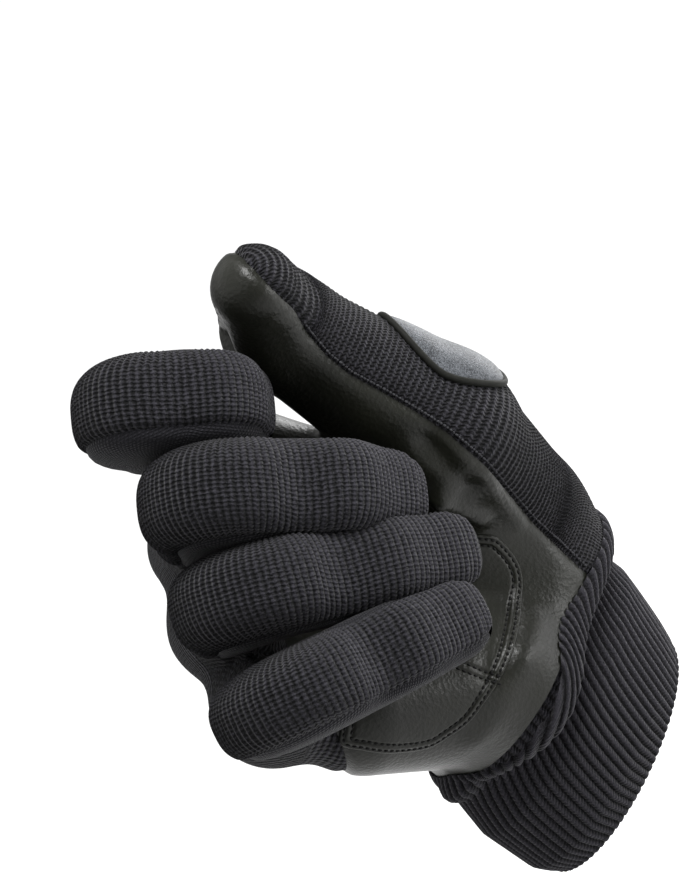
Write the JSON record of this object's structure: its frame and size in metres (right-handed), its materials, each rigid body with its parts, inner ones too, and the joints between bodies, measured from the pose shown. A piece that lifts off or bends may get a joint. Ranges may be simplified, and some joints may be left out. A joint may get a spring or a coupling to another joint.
{
  "type": "tactical glove",
  "caption": "Right-hand tactical glove of dark knit with a leather palm and fingertips, a padded thumb knuckle and a short ribbed cuff, held in the shape of a closed grip.",
  "frame": {"origin": "middle of the cuff's mouth seam, where the cuff is sewn to the hand: the wrist passes through it", "axes": "+Z from the cuff up into the hand, along the wrist's axis; +X to the thumb's side; the palm faces -Y and the back of the hand +Y"},
  "size_m": [0.1043, 0.0834, 0.1537],
  "materials": {
    "waffle_knit": "matt waffle knit, near black with a cold tint",
    "fine_knit": "fine smooth jersey knit, near black",
    "rib_knit": "rib knit, near black",
    "leather": "soft satin leather, near black and slightly olive",
    "pad_leather": "silvery grey leather"
  },
  "bodies": {
    "root": {"hand_back": "waffle_knit", "palm_leather": "leather", "thumb_back": "waffle_knit", "palm_patch": "leather", "knuckle_pad": "pad_leather", "cuff": "rib_knit", "index_back": "waffle_knit", "index_strip": "fine_knit", "index_front": "leather", "middle_back": "waffle_knit", "middle_strip": "fine_knit", "middle_front": "leather", "ring_back": "waffle_knit", "ring_strip": "fine_knit", "ring_front": "leather", "little_back": "waffle_knit", "little_strip": "fine_knit", "little_front": "leather"}
  },
  "joints": []
}
